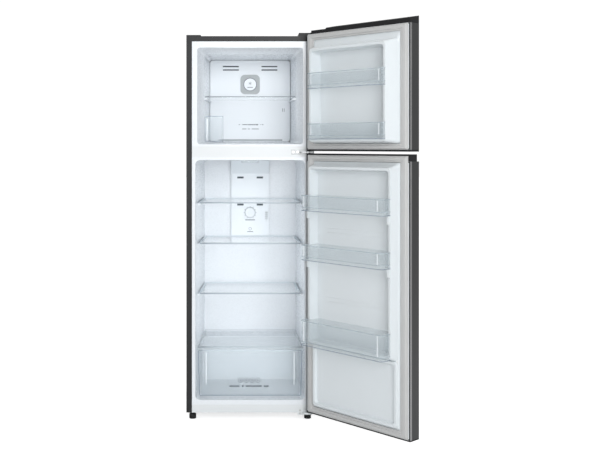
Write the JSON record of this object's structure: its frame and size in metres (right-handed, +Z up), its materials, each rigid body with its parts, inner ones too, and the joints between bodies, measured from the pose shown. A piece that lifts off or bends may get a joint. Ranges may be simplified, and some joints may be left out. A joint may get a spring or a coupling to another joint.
{
  "type": "top freezer refrigerator",
  "caption": "Tall free-standing refrigerator with a freezer on top, two open right-hung doors, glass shelves, door bins, an ice box and a crisper drawer.",
  "frame": {"origin": "on the floor under the middle of the cabinet's footprint", "axes": "+Z up, +X to the hinge side, +Y to the back; the doors are at the -Y side and stand open"},
  "size_m": [0.9202, 0.9617, 1.672],
  "materials": {
    "cabinet_steel": "satin dark grey steel sheet",
    "door_steel": "brushed dark grey steel sheet",
    "galvanised_steel": "plain galvanised sheet",
    "white_steel": "white painted steel",
    "liner_white": "cold white vacuum-formed plastic",
    "panel_white": "white moulded plastic",
    "insulation": "rigid foam",
    "seal_grey": "light grey flexible gasket",
    "black_plastic": "black moulded plastic",
    "grey_plastic": "light grey moulded plastic",
    "clear_plastic": "clear moulded plastic",
    "shelf_glass": "tempered glass",
    "shelf_trim": "translucent grey-blue plastic",
    "compressor_black": "black enamel",
    "aluminium_fin": "bare aluminium",
    "copper_tube": "copper tube",
    "zinc": "zinc-plated steel"
  },
  "bodies": {
    "cabinet": {"cabinet_shell": "cabinet_steel", "rear_panel": "galvanised_steel", "base_pan": "galvanised_steel", "front_bottom_rail": "white_steel", "mullion_cover": "white_steel", "freezer_liner": "liner_white", "fridge_liner": "liner_white", "cabinet_foam": "insulation", "evaporator_cover": "panel_white", "air_filter_housing": "grey_plastic", "air_filter_cap": "panel_white", "evaporator_coil": "aluminium_fin", "fan_motor": "black_plastic", "condenser_coil": "copper_tube", "compressor": "compressor_black", "drain_pan": "black_plastic", "refrigerant_lines": "copper_tube", "compressor_bay_cover": "galvanised_steel", "cord_gland": "black_plastic", "air_duct_cover": "panel_white", "lamp_lens": "clear_plastic", "top_hinge_bracket": "zinc", "middle_hinge_bracket": "white_steel", "bottom_hinge_bracket": "white_steel", "hinge_screws": "zinc", "top_hinge_cover": "black_plastic", "top_left_cap": "black_plastic"},
    "freezer_door": {"freezer_door_skin": "door_steel", "freezer_door_top_cap": "black_plastic", "freezer_door_bottom_cap": "black_plastic", "freezer_door_foam": "insulation", "freezer_door_liner": "liner_white", "freezer_door_gasket": "seal_grey"},
    "fridge_door": {"fridge_door_skin": "door_steel", "fridge_door_top_cap": "black_plastic", "fridge_door_bottom_cap": "black_plastic", "fridge_door_foam": "insulation", "fridge_door_liner": "liner_white", "fridge_door_gasket": "seal_grey"},
    "freezer_bin_upper": {"freezer_bin_upper": "clear_plastic"},
    "freezer_bin_lower": {"freezer_bin_lower": "clear_plastic"},
    "fridge_bin_upper": {"fridge_bin_upper": "clear_plastic"},
    "fridge_bin_middle": {"fridge_bin_middle": "clear_plastic"},
    "bottle_rack": {"bottle_rack": "clear_plastic"},
    "freezer_shelf": {"freezer_shelf": "clear_plastic"},
    "crisper_cover": {"crisper_cover": "clear_plastic"},
    "crisper_drawer": {"crisper_drawer": "clear_plastic"},
    "ice_box": {"ice_box": "clear_plastic"},
    "temperature_dial": {"temperature_dial": "panel_white"},
    "evaporator_fan": {"evaporator_fan": "grey_plastic"},
    "levelling_foot_left": {"levelling_foot_left": "black_plastic"},
    "levelling_foot_right": {"levelling_foot_right": "black_plastic"},
    "rear_roller_left": {"rear_roller_left": "black_plastic"},
    "rear_roller_right": {"rear_roller_right": "black_plastic"},
    "fridge_shelf_top": {"fridge_shelf_top_frame": "shelf_trim", "fridge_shelf_top_glass": "shelf_glass"},
    "fridge_shelf_middle": {"fridge_shelf_middle_frame": "shelf_trim", "fridge_shelf_middle_glass": "shelf_glass"},
    "fridge_shelf_low": {"fridge_shelf_low_frame": "shelf_trim", "fridge_shelf_low_glass": "shelf_glass"}
  },
  "joints": [
    {"name": "freezer_door_swing", "type": "hinge", "parent": "cabinet", "child": "freezer_door", "pos_m": [0.2627, -0.2815, 1.4], "axis": [0, 0, 1], "range_deg": [-132.5, 0]},
    {"name": "fridge_door_swing", "type": "hinge", "parent": "cabinet", "child": "fridge_door", "pos_m": [0.2627, -0.2815, 0.6], "axis": [0, 0, 1], "range_deg": [-132.5, 0]},
    {"name": "freezer_bin_upper_lift", "type": "slide", "parent": "freezer_door", "child": "freezer_bin_upper", "axis": [0, 0, 1], "range_m": [0, 0.05]},
    {"name": "freezer_bin_lower_lift", "type": "slide", "parent": "freezer_door", "child": "freezer_bin_lower", "axis": [0, 0, 1], "range_m": [0, 0.05]},
    {"name": "fridge_bin_upper_lift", "type": "slide", "parent": "fridge_door", "child": "fridge_bin_upper", "axis": [0, 0, 1], "range_m": [0, 0.05]},
    {"name": "fridge_bin_middle_lift", "type": "slide", "parent": "fridge_door", "child": "fridge_bin_middle", "axis": [0, 0, 1], "range_m": [0, 0.05]},
    {"name": "bottle_rack_lift", "type": "slide", "parent": "fridge_door", "child": "bottle_rack", "axis": [0, 0, 1], "range_m": [0, 0.05]},
    {"name": "freezer_shelf_slide", "type": "slide", "parent": "cabinet", "child": "freezer_shelf", "axis": [0, -1, 0], "range_m": [0, 0.22]},
    {"name": "fridge_shelf_top_slide", "type": "slide", "parent": "cabinet", "child": "fridge_shelf_top", "axis": [0, -1, 0], "range_m": [0, 0.2]},
    {"name": "fridge_shelf_middle_slide", "type": "slide", "parent": "cabinet", "child": "fridge_shelf_middle", "axis": [0, -1, 0], "range_m": [0, 0.2]},
    {"name": "fridge_shelf_low_slide", "type": "slide", "parent": "cabinet", "child": "fridge_shelf_low", "axis": [0, -1, 0], "range_m": [0, 0.24]},
    {"name": "crisper_cover_slide", "type": "slide", "parent": "cabinet", "child": "crisper_cover", "axis": [0, -1, 0], "range_m": [0, 0.24]},
    {"name": "crisper_drawer_slide", "type": "slide", "parent": "cabinet", "child": "crisper_drawer", "axis": [0, -1, 0], "range_m": [0, 0.26]},
    {"name": "ice_box_slide", "type": "slide", "parent": "cabinet", "child": "ice_box", "axis": [0, -1, 0], "range_m": [0, 0.2]},
    {"name": "temperature_dial_turn", "type": "hinge", "parent": "cabinet", "child": "temperature_dial", "pos_m": [0, 0.1725, 0.856], "axis": [0, -1, 0], "range_deg": [-150, 150]},
    {"name": "evaporator_fan_spin", "type": "hinge", "parent": "cabinet", "child": "evaporator_fan", "pos_m": [0, 0.1475, 1.5], "axis": [0, 1, 0], "continuous": true},
    {"name": "levelling_foot_left_screw", "type": "slide", "parent": "cabinet", "child": "levelling_foot_left", "axis": [0, 0, -1], "range_m": [0, 0.01]},
    {"name": "rear_roller_left_roll", "type": "hinge", "parent": "cabinet", "child": "rear_roller_left", "pos_m": [-0.225, 0.2145, 0.015], "axis": [1, 0, 0], "continuous": true},
    {"name": "levelling_foot_right_screw", "type": "slide", "parent": "cabinet", "child": "levelling_foot_right", "axis": [0, 0, -1], "range_m": [0, 0.01]},
    {"name": "rear_roller_right_roll", "type": "hinge", "parent": "cabinet", "child": "rear_roller_right", "pos_m": [0.225, 0.2145, 0.015], "axis": [1, 0, 0], "continuous": true}
  ]
}
